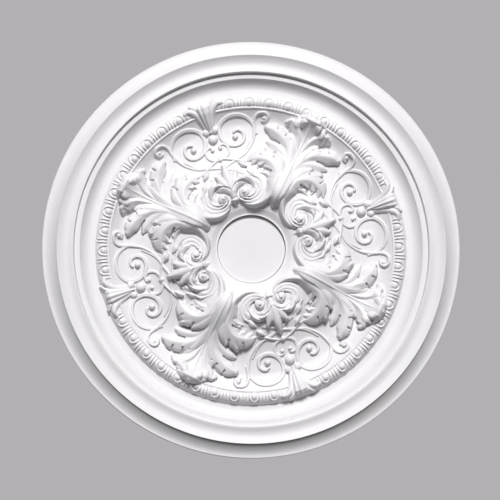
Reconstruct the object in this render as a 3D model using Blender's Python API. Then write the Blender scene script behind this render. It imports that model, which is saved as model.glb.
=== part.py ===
"""Ceiling rose: one casting, flat on its back, carved face downwards.

The flat back lies in Z = 0 with its centre at the origin, and the carved face looks along -Z.
The turned rings are spun from one profile. The carving between the egg ring and the centre is a
relief: each leaf, volute, scroll and egg gives a height above the back, and the highest one wins.
It is drawn once for an eighth of the circle and mirrored and turned round the centre.
"""
from math import atan2, cos, hypot, pi, radians, sin, sqrt

import bmesh
import bpy
import numpy as np
from mathutils import Matrix

# Turned rings, from the outer edge inwards, in metres.
ROSE_RADIUS = 0.350
LIP_WIDTH = 0.0035
LIP_THICKNESS = 0.0246
COVE_WIDTH = 0.0202
COVE_HEIGHT = 0.0133
COVE_CURVE = 1.75
CREST_WIDTH = 0.0008
OGEE_WIDTH = 0.0140
OGEE_DROP = 0.0060
SWELL_WIDTH = 0.0122
SWELL_RISE = 0.0025
STEP_LAND = 0.0010
STEP_WIDTH = 0.0026
STEP_DROP = 0.0069
FILLET_WIDTH = 0.0083
FILLET_DROP = 0.0003
HOLLOW_WIDTH = 0.0184
HOLLOW_DROP = 0.0146
HOLLOW_CURVE = 2.0
VALLEY_WIDTH = 0.0064

# Egg-and-dart ring and the beaded edge inside it.
EGG_RING_WIDTH = 0.0210
EGG_RING_RISE = 0.0101
EGG_RISE = 0.0048
EGG_HALF_WIDTH = 0.0072
EGGS_PER_EIGHTH = 5
EGG_PITCH = radians(7.6)
EGG_START = radians(4.1)
BEAD_WIDTH = 0.0040
BEAD_RISE = 0.0030

# Dished and domed field that carries the carving.
FIELD_THICKNESS = 0.0050
FIELD_EDGE_RISE = 0.0135
DISH_WIDTH = 0.0270
DISH_CURVE = 1.6
DOME_RISE = 0.0270
DOME_RADIUS = 0.0980
DOME_CURVE = 1.4

# Centre ring and the flat recessed disc for a lamp's ceiling cup.
RING_RADIUS = 0.0740
RING_RISE = 0.0200
MOUTH_RADIUS = 0.0575
MOUTH_RISE = 0.0120
MOUTH_ROUND = 0.0020
DISC_THICKNESS = 0.0105

# The carving is drawn in millimetres on a plate of this radius, then scaled to the field.
PLATE_RADIUS = 237.0
CARVING_RELIEF = 1.0
WALL_SLOPE = 3.0
NOWHERE = -1000.0

# Facets.
TURNED_SEGMENTS = 64
CURVE_STEPS = 3
RELIEF_RINGS = 150
RELIEF_COLUMNS = 84
RELIEF_TRIANGLES = 840
CURVE_SAMPLES = 10
SNAP_DISTANCE = 0.0004

VALLEY_OUTER = (ROSE_RADIUS - LIP_WIDTH - COVE_WIDTH - CREST_WIDTH - OGEE_WIDTH - SWELL_WIDTH
                - STEP_LAND - STEP_WIDTH - FILLET_WIDTH - HOLLOW_WIDTH)
CARVED_RADIUS = VALLEY_OUTER - VALLEY_WIDTH
EGG_INNER = CARVED_RADIUS - EGG_RING_WIDTH
FIELD_RADIUS = EGG_INNER - BEAD_WIDTH
CREST_HEIGHT = LIP_THICKNESS + COVE_HEIGHT
VALLEY_HEIGHT = (CREST_HEIGHT - OGEE_DROP + SWELL_RISE - STEP_DROP - FILLET_DROP - HOLLOW_DROP)
FIELD_EDGE_HEIGHT = FIELD_THICKNESS + FIELD_EDGE_RISE
PLATE_SCALE = PLATE_RADIUS / FIELD_RADIUS
EIGHTH = pi / 4


def ease(t):
    """Smooth step from 0 to 1."""
    t = np.clip(t, 0.0, 1.0)
    return t * t * (3.0 - 2.0 * t)


def smooth_curve(points):
    """Catmull-Rom curve through the points, with every column carried along."""
    knots = np.asarray(points, float)
    knots = np.vstack([2 * knots[0] - knots[1], knots, 2 * knots[-1] - knots[-2]])
    t = np.linspace(0, 1, CURVE_SAMPLES, endpoint=False)[:, None]
    spans = []
    for a, b, c, d in zip(knots[:-3], knots[1:-2], knots[2:-1], knots[3:]):
        spans.append(0.5 * (2 * b + (c - a) * t + (2 * a - 5 * b + 4 * c - d) * t ** 2
                            + (3 * b - a - 3 * c + d) * t ** 3))
    return np.vstack(spans + [knots[-2:-1]])


def nearest_on(path, x, y):
    """Nearest sample of the path and the distance to it, positive on its left side."""
    best = np.full(x.shape, np.inf)
    index = np.zeros(x.shape, int)
    for number, sample in enumerate(path):
        squared = (x - sample[0]) ** 2 + (y - sample[1]) ** 2
        closer = squared < best
        best[closer] = squared[closer]
        index[closer] = number
    along = np.gradient(path[:, :2], axis=0)
    left = along[index, 0] * (y - path[index, 1]) - along[index, 1] * (x - path[index, 0])
    return index, np.where(left >= 0, 1.0, -1.0) * np.sqrt(best)


def lobe(x, y, points, left, right):
    """A lobe hung from a ridge line through points (x, y, height, width share).

    left and right are (half width, drop at the edge, curve of the slope).
    """
    path = smooth_curve(points)
    index, side = nearest_on(path, x, y)
    share = path[index, 3]
    width = np.where(side > 0, left[0], right[0]) * share
    drop = np.where(side > 0, left[1], right[1]) * np.clip(share, 0, 1)
    power = np.where(side > 0, left[2], right[2])
    reach = np.abs(side) / np.maximum(width, 0.001)
    slope = path[index, 2] - drop * np.minimum(reach, 1.0) ** power
    return slope - WALL_SLOPE * np.maximum(np.abs(side) - width, 0)


def cord(x, y, points, ground):
    """A round stroke lying on the ground, through points (x, y, half width, height)."""
    path = smooth_curve(points)
    index, side = nearest_on(path, x, y)
    reach = np.abs(side) / path[index, 2]
    crown = path[index, 3] * np.sqrt(np.clip(1 - reach ** 2, 0, 1))
    return np.where(reach < 1, ground + crown, NOWHERE)


def ball(x, y, centre, radius, ground, rise):
    """A half ball or a low oval boss on the ground."""
    reach = np.hypot(x - centre[0], y - centre[1]) / radius
    return np.where(reach < 1, ground + rise * np.sqrt(np.clip(1 - reach ** 2, 0, 1)), NOWHERE)


def leaf_spine(y):
    """Height of the leaf along its midrib: swelling base, hollow middle, curled tip."""
    base = 53.5 - 28.0 * np.clip((104.0 - y) / 28.0, 0, 2) ** 2.2
    middle = 15.0 + 38.5 * (0.5 + 0.5 * np.cos(pi * np.clip((y - 104.0) / 91.0, 0, 1))) ** 1.15
    curl = 15.0 + 27.5 * np.clip((y - 195.0) / 41.0, 0, 1) ** 2.2
    height = np.where(y < 104.0, base, np.where(y < 195.0, middle, curl))
    return height - 17.0 * ease((y - 237.0) / 13.0)


def acanthus_leaf(x, y):
    """Half of the great leaf, with its midrib along +Y."""
    spine = leaf_spine(y)
    flat = np.interp(y, (76, 86, 100, 120, 145), (3, 8, 9.5, 9, 4))
    depth = np.interp(y, (76, 90, 100, 110, 120, 135), (16, 19, 25, 30, 27, 24))
    reach = np.interp(y, (76, 90, 100, 110, 120, 135), (9, 10, 16, 32, 42, 38))
    flank = spine - depth * (1 - np.exp(-np.clip(x - flat, 0, None) / reach))
    side = np.interp(y, (76, 100, 112, 118, 128, 142), (58, 58, 52, 44, 34, 20))
    brow = np.interp(x, (10, 18, 26, 34, 42, 50), (142, 136, 126, 121, 119, 116))
    foot = np.interp(x, (0, 8, 14, 24, 40, 60), (77.0, 77.6, 79.5, 76.5, 76.0, 80.0)) - np.hypot(x, y)
    flank -= 1.4 * np.clip(x - side, 0, None) + 3.0 * ease((y - 112.0) / 30.0)
    flank -= WALL_SLOPE * (np.clip(y - brow, 0, None) + np.clip(foot, 0, None))
    parts = [np.where(y < 142.0, flank, NOWHERE)]
    edge = np.interp(y, (130, 150, 170, 190, 210), (16, 26, 36, 28, 14))
    sheet = spine - 0.22 * x - 1.2 - 1.1 * np.clip(x - edge, 0, None)
    parts.append(np.where(y > 125.0, sheet, NOWHERE))
    rib = np.interp(y, (80, 110, 150, 228), (4.4, 3.2, 2.0, 0.3))
    parts.append(np.where((x < rib) & (y > 80.0) & (y < 228.0),
                          spine + 1.5 * np.sqrt(np.clip(1 - (x / rib) ** 2, 0, 1)), NOWHERE))
    curling = ((11, 116, 47.5, 0.3), (18, 130, 42, 0.8), (28, 140, 36.5, 1.0), (40, 143.5, 32, 1.0),
               (52, 142, 27.5, 0.9), (63, 136, 22, 0.62), (73, 129, 16, 0.2))
    parts.append(lobe(x, y, curling, (21, 19, 1.15), (11, 5, 1.3)))
    for tooth in (((54, 141, 26, 0.9), (60, 132, 23, 0.8), (62, 125, 20, 0.25)),
                  ((44, 142, 29, 0.9), (50, 131, 27, 0.8), (52, 123, 24, 0.25)),
                  ((35, 140, 33, 0.8), (40, 130, 32, 0.8), (44, 119, 31, 0.25))):
        parts.append(lobe(x, y, tooth, (6, 3, 1.6), (6, 3, 1.6)))
    toothed = ((3, 140, 34, 0.4), (10, 160, 24, 0.7), (22, 178, 18, 0.95), (38, 188, 17.5, 1.0),
               (53, 193, 15.5, 0.8), (67, 197, 11, 0.2))
    parts.append(lobe(x, y, toothed, (15, 8, 1.4), (9, 5, 1.2)))
    parts.append(lobe(x, y, ((30, 180, 17, 0.5), (44, 184, 15, 1.0), (57, 183, 9.5, 0.3)),
                      (6, 3, 1.5), (6.5, 5, 1.2)))
    lower = ((6, 136, 36, 0.4), (14, 152, 27, 0.7), (26, 165, 18.5, 1.0), (38, 172, 15, 1.0),
             (50, 174, 9.5, 0.3))
    parts.append(lobe(x, y, lower, (9, 4.5, 1.4), (9, 5, 1.2)))
    upper = ((2, 176, 18.5, 0.5), (7, 194, 16.5, 0.8), (17, 209, 17.5, 1.0), (28, 216, 20, 1.0),
             (38, 220, 18, 0.35))
    parts.append(lobe(x, y, upper, (8, 4, 1.5), (9, 7, 1.3)))
    for tip_x, tip_y, tip_height, share in ((0, 238, 43.5, 1.0), (12.5, 236.5, 41, 0.95),
                                            (24, 231, 29, 0.7)):
        middle_y = 0.45 * 204 + 0.55 * tip_y
        finger = ((0.1 * tip_x, 204, 15.6, 0.4),
                  (0.45 * tip_x, middle_y, 0.7 * 15.6 + 0.3 * tip_height, 0.75),
                  (tip_x, tip_y, tip_height, share))
        parts.append(lobe(x, y, finger, (7.6, 2.6, 1.8), (7.6, 2.6, 1.8)))
    return np.max(parts, axis=0)


VOLUTE_EYE = (53.0, 79.0)


def volute(x, y):
    """The scroll beside the leaf's base: a smooth shell, a spiral roll and a ball in the eye."""
    eye_x, eye_y = VOLUTE_EYE
    bearing = (np.degrees(np.arctan2(y - eye_y, x - eye_x)) - 20) % 360
    edge = np.interp(bearing, (0, 30, 60, 85, 115, 150, 175, 190, 210, 235, 260, 295, 340, 360),
                     (13, 14, 22, 34, 36, 35, 30, 25.5, 20.5, 17.0, 15.0, 12.5, 12, 13))
    distance = np.hypot(x - eye_x, y - eye_y)
    shell = 32.0 + 4.5 * np.exp(-(distance / 10.0) ** 4)
    parts = [shell - WALL_SLOPE * np.clip(distance - edge, 0, None)]
    turns = ((92, 33.5, 31.5, 1.5), (112, 35.5, 32.5, 2.8), (132, 35, 33, 3.2), (150, 32, 33.5, 3.2),
             (172, 26.5, 34, 3.0), (200, 20, 34.2, 2.6), (230, 15.5, 34.6, 2.3), (262, 12.6, 35.5, 2.0),
             (300, 10.6, 36.5, 1.8), (345, 9.4, 37.5, 1.8), (390, 8.6, 38.5, 1.8))
    spiral = [(eye_x + radius * cos(radians(turn)), eye_y + radius * sin(radians(turn)), top, width)
              for turn, radius, top, width in turns]
    path = smooth_curve(spiral)
    index, side = nearest_on(path, x, y)
    across = np.abs(side) / path[index, 3]
    roll = path[index, 2] - 1.0 + 1.8 * np.sqrt(np.clip(1 - across ** 2, 0, 1))
    parts.append(np.where(across < 1, roll, NOWHERE))
    parts.append(ball(x, y, VOLUTE_EYE, 5.0, 37.0, 5.0))
    return np.max(parts, axis=0)


def on_diagonal(points):
    """Points given across and along the diagonal, as points (x, y) of the plate."""
    return [((along - across) / sqrt(2), (along + across) / sqrt(2), *rest) for across, along, *rest in points]


def palmette(x, y):
    """Half of the palmette between two volutes: middle leaf, side tip, two cupped petals, bud and knot."""
    middle = ((0, 90, 41, 0.5), (0, 106, 44, 0.95), (0, 124, 42.5, 1.0), (0, 140, 37.5, 0.75), (0, 152, 30, 0.1))
    side_tip = ((3, 100, 41.5, 0.5), (8.5, 113, 42, 0.85), (14, 124, 39.5, 1.0), (18, 131, 34, 0.15))
    inner_petal = ((7, 103, 40, 0.4), (12, 111, 42, 0.9), (20, 116, 42.5, 1.0), (27.5, 115, 39.5, 0.7))
    outer_petal = ((28, 118, 39, 0.5), (33, 113.5, 40, 1.0), (37, 107, 38.5, 0.9), (38.5, 100, 36, 0.5))
    bud = ((47, 112.5, 31, 0.3), (41.5, 120, 32, 1.0), (35.5, 128, 28.5, 0.3))
    knot = ((0, 85, 40, 1.0), (2, 85.4, 40, 1.0))
    foot = ((0, 80, 32, 0.7), (0, 76, 27, 1.0))
    return np.max([lobe(x, y, on_diagonal(middle), (7.5, 3.5, 1.7), (7.5, 3.5, 1.7)),
                   lobe(x, y, on_diagonal(side_tip), (7, 4, 1.6), (7, 4, 1.6)),
                   lobe(x, y, on_diagonal(inner_petal), (14, 7, 1.1), (1.6, 1.2, 2.0)),
                   lobe(x, y, on_diagonal(outer_petal), (10, 5, 1.1), (1.6, 1.2, 2.0)),
                   lobe(x, y, on_diagonal(bud), (4.6, 3, 1.6), (4.6, 3, 1.6)),
                   lobe(x, y, on_diagonal(knot), (3.4, 4, 1.8), (3.4, 4, 1.8)),
                   lobe(x, y, on_diagonal(foot), (4.5, 4, 1.2), (4.5, 4, 1.2))], axis=0)


def scrollwork(x, y, ground):
    """Stems, C scroll, heart, pearls and linking cord on one side of the trumpet's axis."""
    stem = ((78, 204, 3.0, 5), (73, 207, 3.2, 5.5), (73, 214, 3.4, 6), (80, 217, 3.2, 5.5),
            (90, 211, 2.8, 4.5), (91, 200, 3.2, 4.5), (83, 184, 3.4, 4.0), (77.5, 164, 2.6, 3.0),
            (80, 141, 2.4, 2.8), (87, 128, 2.4, 2.8), (100, 104, 2.4, 2.8))
    heart = ((113, 113, 2.6, 3), (107, 121, 2.8, 3.4), (106, 131, 2.8, 3.6), (112, 139, 2.6, 3.8),
             (120, 140, 2.4, 3.8), (125, 135, 2.4, 4))
    scroll_x, scroll_y = 109.0, 164.0
    turns = ((150, 35), (90, 33.5), (30, 31), (0, 29), (-30, 26), (-60, 22.5), (-90, 20), (-150, 17.5),
             (-215, 13.5), (-290, 7.5))
    scroll = [(scroll_x + radius * cos(radians(turn)), scroll_y + radius * sin(radians(turn)), 3.4, 4.2)
              for turn, radius in turns]
    link = on_diagonal(((-1, 162, 2.4, 4.0), (14, 156, 2.4, 4.0), (27, 149, 2.4, 4.0), (38, 143, 2.0, 3.0)))
    parts = [cord(x, y, line, ground) for line in (stem, heart, scroll, link)]
    for centre, radius, rise in (((77, 209), 4.4, 6.5), ((107.5, 160), 5.2, 7.5), ((121.5, 131.5), 3.6, 5.5),
                                 ((113, 113), 4.6, 6), ((139, 139), 8.5, 9), ((143, 155), 6.5, 8)):
        parts.append(ball(x, y, centre, radius, ground, rise))
    return np.max(parts, axis=0)


def trumpet(x, y):
    """Half of the flared horn that crosses the egg ring, with a leaf curling off its side."""
    along = (x + y) / sqrt(2)
    across = np.abs(x - y) / sqrt(2)
    half = np.interp(along, (208, 214, 225, 240, 252, 258), (3.0, 3.5, 6.5, 9.5, 12.0, 11.0))
    top = np.interp(along, (206, 212, 225, 240, 250, 258), (12, 13, 22, 31, 33, 27))
    share = np.minimum(across / half, 1)
    body = top - 5.0 * share ** 2 - WALL_SLOPE * np.clip(across - half, 0, None)
    body -= WALL_SLOPE * np.clip(along - 255.0, 0, None)
    side_leaf = ((149, 157, 12, 0.5), (157, 171, 20, 0.9), (161.5, 184, 27, 1.0), (160, 195, 29, 0.8),
                 (153, 200, 27, 0.5))
    return np.maximum(np.where(along > 207.0, body, NOWHERE),
                      lobe(x, y, side_leaf, (5, 3, 1.6), (5, 3, 1.6)))


def field_height(radius):
    """Height of the plain field: centre ring, dome, dish and raised edge."""
    dish_radius = FIELD_RADIUS - DISH_WIDTH
    dome = (0.5 + 0.5 * np.cos(pi * np.clip((radius - DOME_RADIUS) / (dish_radius - DOME_RADIUS), 0, 1)))
    edge = np.clip((radius - dish_radius) / DISH_WIDTH, 0, 1) ** DISH_CURVE
    inner = ease((radius - RING_RADIUS) / (DOME_RADIUS - RING_RADIUS))
    height = FIELD_THICKNESS + DOME_RISE * dome ** DOME_CURVE + FIELD_EDGE_RISE * edge
    return np.where(radius < DOME_RADIUS,
                    FIELD_THICKNESS + RING_RISE + (DOME_RISE - RING_RISE) * inner, height)


def egg_ring_height(radius, angle):
    """Half-round ring with a row of eggs standing on it."""
    across = (radius - EGG_INNER) / EGG_RING_WIDTH
    roll = np.sin(pi * (0.18 + 0.82 * np.clip(across, 0, 1))) ** 0.7
    low = VALLEY_HEIGHT + 0.0 * across
    number = np.clip(np.round((angle - EGG_START) / EGG_PITCH), 0, EGGS_PER_EIGHTH - 1)
    off_axis = np.abs(angle - EGG_START - number * EGG_PITCH) * radius
    shell = np.clip(1 - (off_axis / EGG_HALF_WIDTH) ** 2, 0, 1)
    shell *= np.clip(1 - ((across - 0.4) / 0.45) ** 4, 0, 1)
    return np.where(across > 0, low + EGG_RING_RISE * roll + EGG_RISE * np.sqrt(shell), 0)


def bead_height(radius):
    """Thin half-round bead at the field's edge."""
    across = (radius - FIELD_RADIUS - 0.5 * BEAD_WIDTH) / (0.5 * BEAD_WIDTH)
    return np.where(np.abs(across) < 1,
                    FIELD_EDGE_HEIGHT + BEAD_RISE * np.sqrt(np.clip(1 - across ** 2, 0, 1)), 0)


def relief_height(radius, angle):
    """Height of the carved surface above the back, for radii from the centre ring outwards."""
    angle = np.abs((angle + EIGHTH) % (2 * EIGHTH) - EIGHTH)
    ground = np.where(radius < FIELD_RADIUS, field_height(radius), VALLEY_HEIGHT)
    x = radius * PLATE_SCALE * np.sin(angle)
    y = radius * PLATE_SCALE * np.cos(angle)
    plate_ground = (ground - FIELD_THICKNESS) * 1000.0 + 5.0
    carved = np.max([acanthus_leaf(x, y), volute(x, y), palmette(x, y),
                     scrollwork(x, y, plate_ground), trumpet(x, y)], axis=0)
    carved = FIELD_THICKNESS + CARVING_RELIEF * (carved - 5.0) / 1000.0
    carved = np.where(radius < RING_RADIUS + 0.0005, 0, carved)
    return np.max([ground, egg_ring_height(radius, angle), bead_height(radius), carved], axis=0)


def carved_eighth():
    """Relief mesh of one eighth of the circle, thinned to a light triangle count."""
    radii = np.linspace(RING_RADIUS, CARVED_RADIUS, RELIEF_RINGS)
    angles = np.linspace(0.0, EIGHTH, RELIEF_COLUMNS)
    radius, angle = np.meshgrid(radii, angles, indexing="ij")
    height = relief_height(radius, angle)
    bm = bmesh.new()
    rings = []
    for row in range(RELIEF_RINGS):
        rings.append([bm.verts.new((radii[row] * sin(turn), radii[row] * cos(turn), -height[row, column]))
                      for column, turn in enumerate(angles)])
    for inner, outer in zip(rings[:-1], rings[1:]):
        for column in range(RELIEF_COLUMNS - 1):
            bm.faces.new((inner[column], inner[column + 1], outer[column + 1], outer[column]))
    mesh = bpy.data.meshes.new("carved_eighth")
    bm.to_mesh(mesh)
    bm.free()
    eighth = bpy.data.objects.new("carved_eighth", mesh)
    bpy.context.collection.objects.link(eighth)
    thin = eighth.modifiers.new("thin_out", "DECIMATE")
    thin.ratio = RELIEF_TRIANGLES / (2 * (RELIEF_COLUMNS - 1) * (RELIEF_RINGS - 1))
    thinned = bpy.data.meshes.new_from_object(eighth.evaluated_get(bpy.context.evaluated_depsgraph_get()))
    bpy.data.objects.remove(eighth)
    return thinned


def square_up(vert):
    """Put a vertex on the rim of the eighth back on its arc or its straight edge."""
    radius = hypot(vert.co.x, vert.co.y)
    angle = atan2(vert.co.x, vert.co.y)
    for edge_angle in (0.0, EIGHTH):
        if abs(angle - edge_angle) * radius < SNAP_DISTANCE:
            angle = edge_angle
    for edge_radius, edge_height in ((RING_RADIUS, FIELD_THICKNESS + RING_RISE),
                                     (CARVED_RADIUS, VALLEY_HEIGHT)):
        if abs(radius - edge_radius) < SNAP_DISTANCE:
            radius = edge_radius
            vert.co.z = -edge_height
    vert.co.x = radius * sin(angle)
    vert.co.y = radius * cos(angle)


def carved_plate(bm):
    """The whole carving: the eighth mirrored across its diagonal, then across Y and X."""
    bm.from_mesh(carved_eighth())
    for vert in bm.verts:
        if vert.is_boundary:
            square_up(vert)
    for turn in (EIGHTH, 0.0, 2 * EIGHTH):
        mirror = Matrix.Rotation(-turn, 4, "Z") @ Matrix.Scale(-1, 4, (1, 0, 0)) @ Matrix.Rotation(turn, 4, "Z")
        copied = bmesh.ops.duplicate(bm, geom=bm.verts[:] + bm.edges[:] + bm.faces[:])["geom"]
        bmesh.ops.transform(bm, matrix=mirror, verts=[part for part in copied
                                                      if isinstance(part, bmesh.types.BMVert)])
        bmesh.ops.reverse_faces(bm, faces=[part for part in copied
                                           if isinstance(part, bmesh.types.BMFace)])
        bmesh.ops.remove_doubles(bm, verts=bm.verts, dist=1e-6)


def outer_profile():
    """Turned profile as (radius, height) from the valley out over the rings to the back."""
    steps = range(1, CURVE_STEPS + 1)
    radius = VALLEY_OUTER
    height = VALLEY_HEIGHT
    points = [(CARVED_RADIUS + 0.25 * VALLEY_WIDTH, height), (radius, height)]
    for k in steps:
        t = k / CURVE_STEPS
        points.append((radius + HOLLOW_WIDTH * t, height + HOLLOW_DROP * t ** HOLLOW_CURVE))
    radius += HOLLOW_WIDTH + FILLET_WIDTH
    height += HOLLOW_DROP + FILLET_DROP
    points.append((radius, height))
    radius += STEP_WIDTH
    height += STEP_DROP
    points.append((radius - 0.35 * STEP_WIDTH, height - 0.12 * STEP_DROP))
    points.append((radius + STEP_LAND, height))
    radius += STEP_LAND
    points.append((radius + 0.5 * SWELL_WIDTH, height - 0.5 * SWELL_RISE))
    radius += SWELL_WIDTH
    height -= SWELL_RISE
    for k in steps:
        t = k / CURVE_STEPS
        points.append((radius + OGEE_WIDTH * t, height + OGEE_DROP * t ** 1.25))
    radius += OGEE_WIDTH + CREST_WIDTH
    points.append((radius, CREST_HEIGHT))
    for k in steps:
        t = 1 - k / CURVE_STEPS
        points.append((radius + COVE_WIDTH * (1 - t), LIP_THICKNESS + COVE_HEIGHT * t ** COVE_CURVE))
    points.append((ROSE_RADIUS, LIP_THICKNESS))
    points.append((ROSE_RADIUS, 0.0))
    return points


def centre_profile():
    """Turned profile as (radius, height) from the disc out to the centre ring's edge."""
    mouth = FIELD_THICKNESS + MOUTH_RISE
    ring = FIELD_THICKNESS + RING_RISE
    points = [(MOUTH_RADIUS, DISC_THICKNESS), (MOUTH_RADIUS, mouth - MOUTH_ROUND),
              (MOUTH_RADIUS + 0.3 * MOUTH_ROUND, mouth - 0.3 * MOUTH_ROUND), (MOUTH_RADIUS + MOUTH_ROUND, mouth)]
    width = RING_RADIUS - MOUTH_RADIUS - MOUTH_ROUND
    for k in range(1, CURVE_STEPS):
        t = k / CURVE_STEPS
        points.append((MOUTH_RADIUS + MOUTH_ROUND + width * t, mouth + (ring - mouth) * ease(t)))
    return points


def spin_profile(bm, points):
    """Spin a profile round Z, face down, and return its first and last rings of edges."""
    line = [bm.verts.new((radius, 0.0, -height)) for radius, height in points]
    edges = [bm.edges.new(pair) for pair in zip(line[:-1], line[1:])]
    bmesh.ops.spin(bm, geom=line + edges, cent=(0, 0, 0), axis=(0, 0, 1), angle=2 * pi,
                   steps=TURNED_SEGMENTS, use_merge=True, use_duplicate=False)
    rings = []
    for radius, height in (points[0], points[-1]):
        rings.append([edge for edge in bm.edges
                      if all(abs(hypot(v.co.x, v.co.y) - radius) < 1e-5 and abs(v.co.z + height) < 1e-5
                             for v in edge.verts)])
    return rings


def ceiling_rose():
    """Join the turned rings, the carved plate, the centre and the flat back in one solid."""
    bm = bmesh.new()
    carved_plate(bm)
    plate_inner, plate_outer = [], []
    for edge in bm.edges:
        if edge.is_boundary:
            near_rim = hypot(edge.verts[0].co.x, edge.verts[0].co.y) > 0.5 * (RING_RADIUS + CARVED_RADIUS)
            (plate_outer if near_rim else plate_inner).append(edge)
    valley_ring, back_ring = spin_profile(bm, outer_profile())
    disc_ring, centre_ring = spin_profile(bm, centre_profile())
    bmesh.ops.bridge_loops(bm, edges=plate_outer + valley_ring)
    bmesh.ops.bridge_loops(bm, edges=plate_inner + centre_ring)
    bmesh.ops.holes_fill(bm, edges=back_ring, sides=TURNED_SEGMENTS)
    bmesh.ops.holes_fill(bm, edges=disc_ring, sides=TURNED_SEGMENTS)
    bmesh.ops.recalc_face_normals(bm, faces=bm.faces)
    mesh = bpy.data.meshes.new("ceiling_rose")
    bm.to_mesh(mesh)
    bm.free()
    mesh.shade_smooth()
    mesh.set_sharp_from_angle(angle=radians(40))
    rose = bpy.data.objects.new("ceiling_rose", mesh)
    bpy.context.collection.objects.link(rose)
    return rose


def painted_white():
    """Matt white factory paint."""
    material = bpy.data.materials.new("matt_white_paint")
    material.use_nodes = True
    shader = material.node_tree.nodes["Principled BSDF"]
    shader.inputs["Base Color"].default_value = (0.87, 0.86, 0.87, 1.0)
    shader.inputs["Roughness"].default_value = 0.6
    shader.inputs["Metallic"].default_value = 0.0
    return material


for old in list(bpy.data.objects):
    bpy.data.objects.remove(old)
ceiling_rose().data.materials.append(painted_white())
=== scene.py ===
# %% [markdown]
# # A carved ceiling rose
# This lesson dresses the solid of a moulded ceiling rose. The real one is a single casting of
# rigid foam with a matt white coat, glued flat to a ceiling. Turned rings run round it, and
# acanthus leaves, scrolls and a ring of eggs and darts fill the dish between them.
# Everything is drawn in millimetres and turned into metres when a mesh is made.

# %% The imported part
from math import cos, pi, radians, sin, sqrt

import bmesh
import bpy
import numpy as np
from mathutils import Matrix, Vector


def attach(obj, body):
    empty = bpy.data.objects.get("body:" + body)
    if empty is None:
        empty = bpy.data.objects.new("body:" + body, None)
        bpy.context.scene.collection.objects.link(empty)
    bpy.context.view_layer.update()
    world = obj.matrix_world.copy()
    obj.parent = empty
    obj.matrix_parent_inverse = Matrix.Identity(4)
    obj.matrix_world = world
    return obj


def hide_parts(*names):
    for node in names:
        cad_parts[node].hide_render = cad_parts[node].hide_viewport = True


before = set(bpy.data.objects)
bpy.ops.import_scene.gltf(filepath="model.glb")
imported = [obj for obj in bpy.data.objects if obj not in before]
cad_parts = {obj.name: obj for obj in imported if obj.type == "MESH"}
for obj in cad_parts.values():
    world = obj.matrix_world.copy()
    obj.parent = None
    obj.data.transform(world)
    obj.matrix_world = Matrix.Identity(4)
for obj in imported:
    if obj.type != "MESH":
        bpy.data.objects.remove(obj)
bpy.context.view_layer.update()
NODE = "ceiling_rose"
MM = 0.001

# %% [markdown]
# ## Turned ground
# The heights of a turned ring depend only on the radius, so the whole casting without its
# carving is one profile. Heights are counted from the flat back. The formula for each stretch
# is short, and it can be read at any radius, which the carving needs later.

# %% Levels of the turned rings
# From the rim inwards: where a stretch starts or ends, and how high it stands there.
ROSE_RADIUS = 350.0
LIP_THICKNESS = 24.6
COVE_END = 346.5
COVE_START = 326.3
CREST_RADIUS = 325.8
CREST = 37.9
CREST_EDGE = CREST - 1.6
WAIST_RADIUS = 311.5
WAIST = CREST - 6.0
SWELL_RADIUS = 298.3
SWELL = CREST - 3.5
STEP_RADIUS = 295.7
FILLET_RADIUS = 287.4
FILLET_SLOPE = 0.04
VALLEY_RADIUS = 269.0
VALLEY = 12.6
FILLET = VALLEY + 14.6
STEP = VALLEY + 14.9
CORE_OUTER = 261.5
CORE_INNER = 241.0
CORE_RISE = 11.0
BEAD_RADIUS = 239.2
BEAD_HALF_WIDTH = 1.9
BEAD_FOOT = 19.2
BEAD_RISE = 2.0
FIELD_RADIUS = 237.0
FIELD_EDGE = 18.5
DISH_RADIUS = 210.0
DISH = 5.0
DOME_RADIUS = 98.0
DOME = 32.0
RING_RADIUS = 74.0
RING = 25.0
RING_STEP = 1.0
MOUTH_RADIUS = 57.5
MOUTH_FLAT = 1.5
MOUTH = 17.0
DISC = 10.5
GAP_WIDTH = 1.0
GAP_DEPTH = 8.5
print("rose of", 2 * ROSE_RADIUS, "mm with its crest", CREST, "mm above the back")


# %% Heights of the turned rings
def portion(value, start, end):
    """How far value has come from start to end, from 0 to 1."""
    return np.clip((value - start) / (end - start), 0, 1)


def ease(t):
    """Smooth step from 0 to 1."""
    t = np.clip(t, 0.0, 1.0)
    return t * t * (3.0 - 2.0 * t)


def half_round(across):
    """Half-circle profile: 1 in the middle, 0 at a distance of 1 and beyond."""
    return np.sqrt(np.clip(1 - across ** 2, 0, 1))


def outer_rings(r):
    """Valley, hollow, fillet, step, swell, crest and cove, from inside to the lip."""
    z = VALLEY + (FILLET - VALLEY) * portion(r, VALLEY_RADIUS, FILLET_RADIUS) ** 2.0
    z = np.where(r > FILLET_RADIUS, FILLET + FILLET_SLOPE * (r - FILLET_RADIUS), z)
    step = STEP + (SWELL - STEP) * ease(portion(r, STEP_RADIUS, SWELL_RADIUS))
    z = np.where(r > STEP_RADIUS, step, z)
    t = portion(r, SWELL_RADIUS, WAIST_RADIUS)
    z = np.where(r > SWELL_RADIUS, SWELL - (SWELL - WAIST) * t * t * (6 - 8 * t + 3 * t * t), z)
    swell = WAIST + (CREST - WAIST) * portion(r, WAIST_RADIUS, CREST_RADIUS) ** 1.65
    z = np.where(r > WAIST_RADIUS, swell, z)
    cove = portion(r, COVE_END, COVE_START) ** 1.7
    return np.where(r > CREST_RADIUS, LIP_THICKNESS + (CREST_EDGE - LIP_THICKNESS) * cove, z)


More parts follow.
